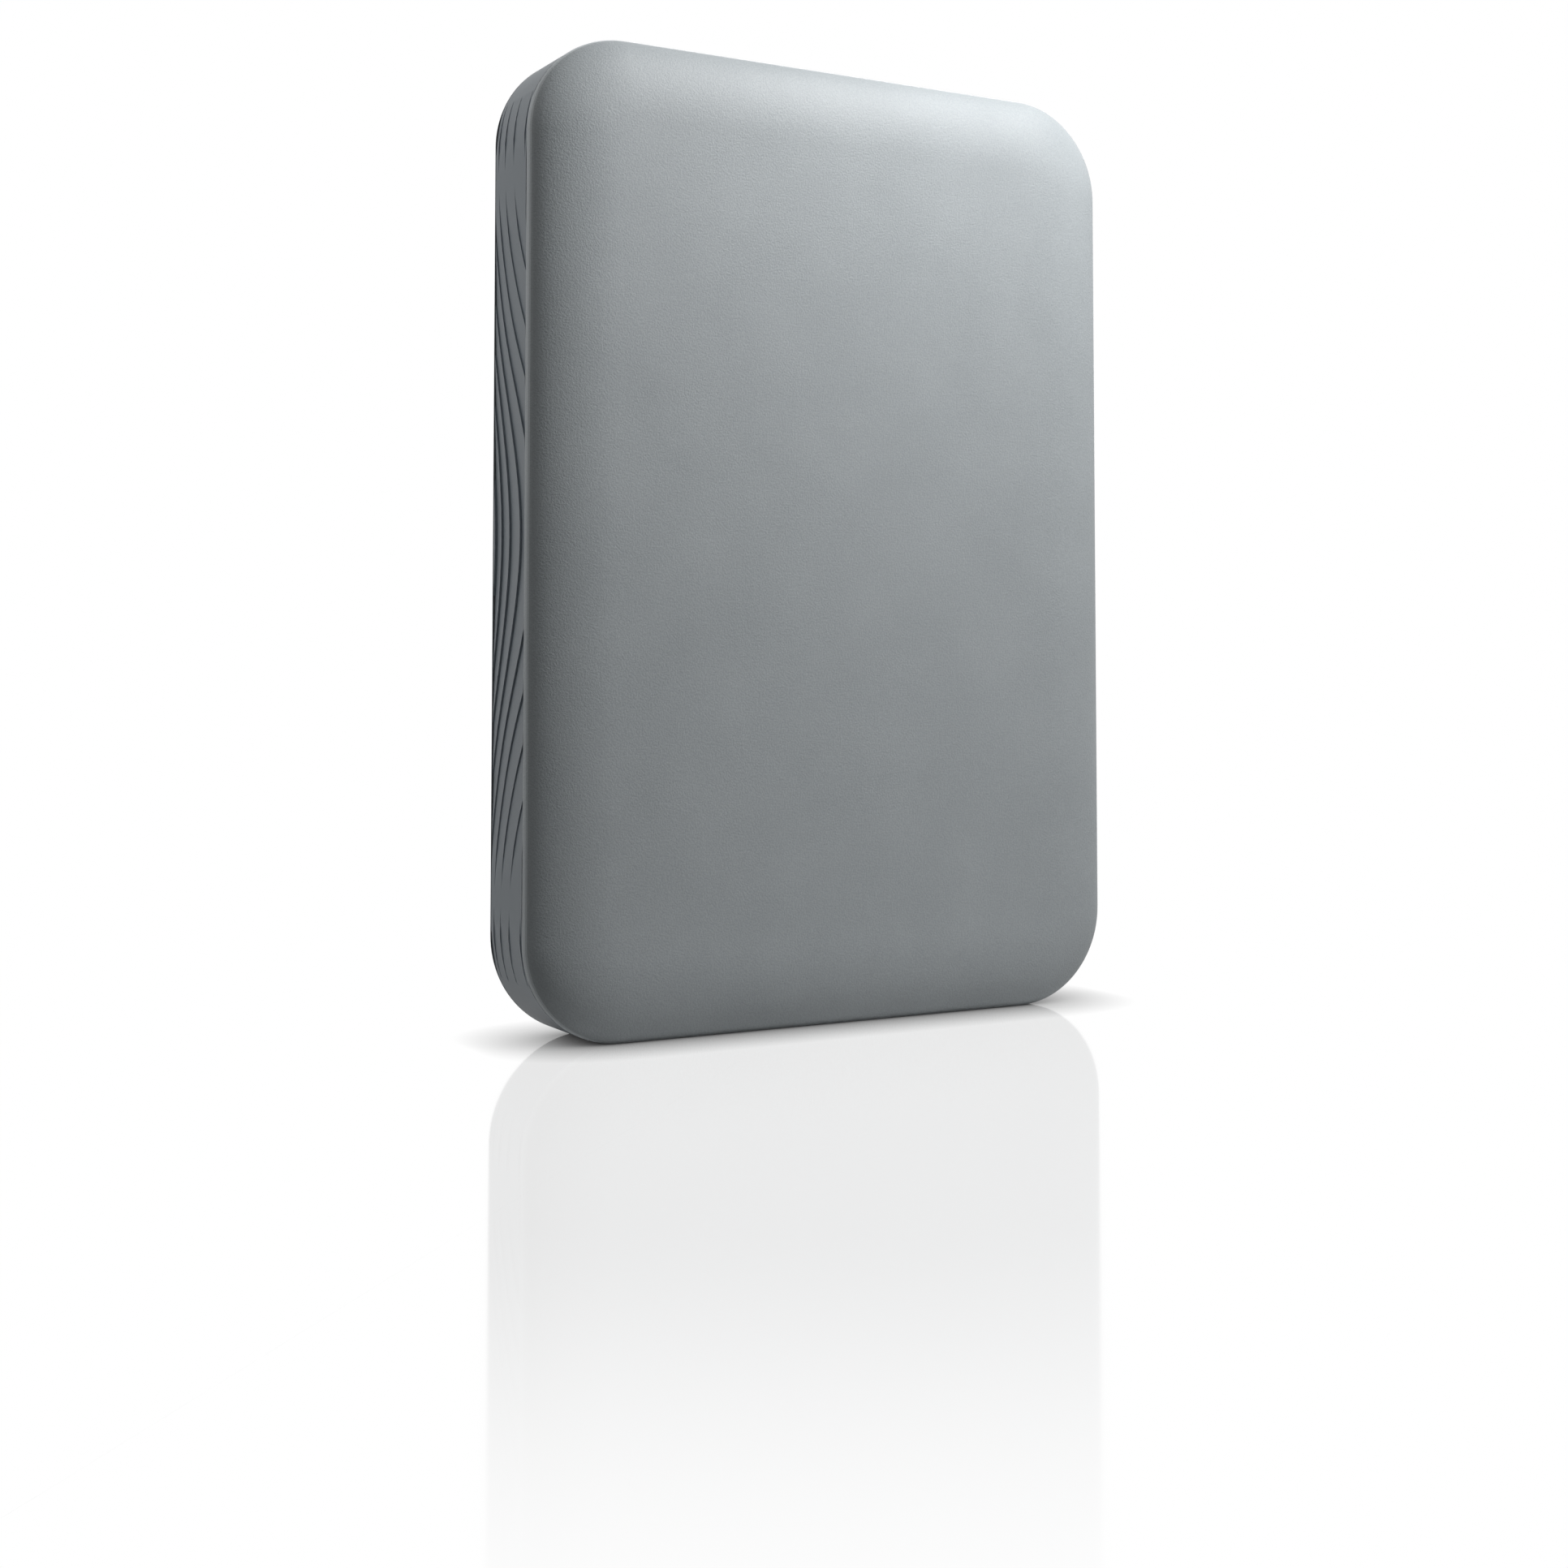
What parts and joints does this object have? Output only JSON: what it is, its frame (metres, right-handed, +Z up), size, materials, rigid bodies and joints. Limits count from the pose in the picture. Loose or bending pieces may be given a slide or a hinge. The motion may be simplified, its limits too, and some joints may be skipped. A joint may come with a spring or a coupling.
{
  "type": "external hard drive",
  "caption": "Portable hard drive in a pillow-shaped grey case with a wave-ribbed side band, standing on its short edge.",
  "frame": {"origin": "middle of the bottom, on the surface that the drive stands on", "axes": "+Z up along the long side, +X across the width, +Y from the front face to the back"},
  "size_m": [0.087, 0.0184, 0.126],
  "materials": {
    "soft_touch": "satin soft-touch coat with a fine grain",
    "band_plastic": "fine matt texture",
    "rubber_black": "matt",
    "clear_plastic": "clear moulding",
    "foam": "closed-cell foam",
    "circuit_board": "solder mask",
    "chip_plastic": "moulded",
    "connector_plastic": "moulded",
    "plated_steel": "bright plating",
    "cast_aluminium": "as cast",
    "turned_aluminium": "fine turned",
    "polished_disc": "polished",
    "copper": "enamelled wire",
    "film": "polyimide film",
    "white_plastic": "moulded"
  },
  "bodies": {
    "housing": {"air_filter": "white_plastic", "back_cover": "soft_touch", "back_pad": "foam", "bearing_sleeve": "plated_steel", "bridge_board": "circuit_board", "bridge_chip": "chip_plastic", "bridge_crystal": "plated_steel", "bumper_bottom_left": "rubber_black", "bumper_bottom_right": "rubber_black", "bumper_top_left": "rubber_black", "bumper_top_right": "rubber_black", "controller_board": "circuit_board", "controller_chip": "chip_plastic", "drive_base": "cast_aluminium", "drive_lid": "plated_steel", "flex_bracket": "connector_plastic", "foot_bottom_left": "rubber_black", "foot_bottom_right": "rubber_black", "foot_top_left": "rubber_black", "foot_top_right": "rubber_black", "front_cover": "soft_touch", "front_pad": "foam", "head_flex": "film", "lid_gasket": "rubber_black", "light_pipe": "clear_plastic", "load_ramp": "white_plastic", "lower_magnet": "plated_steel", "lower_yoke": "plated_steel", "memory_chip": "chip_plastic", "motor_driver_chip": "chip_plastic", "motor_stator": "plated_steel", "pivot_post": "plated_steel", "sata_plug": "connector_plastic", "sata_receptacle": "connector_plastic", "side_band": "band_plastic", "status_led": "white_plastic", "upper_magnet": "plated_steel", "upper_yoke": "plated_steel", "usb_shell": "plated_steel", "usb_tongue": "connector_plastic"},
    "disc_stack": {"spindle_hub": "turned_aluminium", "rotor_magnet": "plated_steel", "storage_disc": "polished_disc", "disc_clamp": "turned_aluminium"},
    "head_arm": {"pivot_sleeve": "plated_steel", "actuator_arms": "turned_aluminium", "voice_coil": "copper", "head_front": "plated_steel", "head_back": "plated_steel"}
  },
  "joints": [
    {"name": "spindle_spin", "type": "hinge", "parent": "housing", "child": "disc_stack", "pos_m": [0, 0, 0.04142], "axis": [0, -1, 0], "continuous": true},
    {"name": "actuator_swing", "type": "hinge", "parent": "housing", "child": "head_arm", "pos_m": [0.01202, 0, 0.0855], "axis": [0, -1, 0], "range_deg": [0, 30], "deforming": ["head_flex"]}
  ]
}
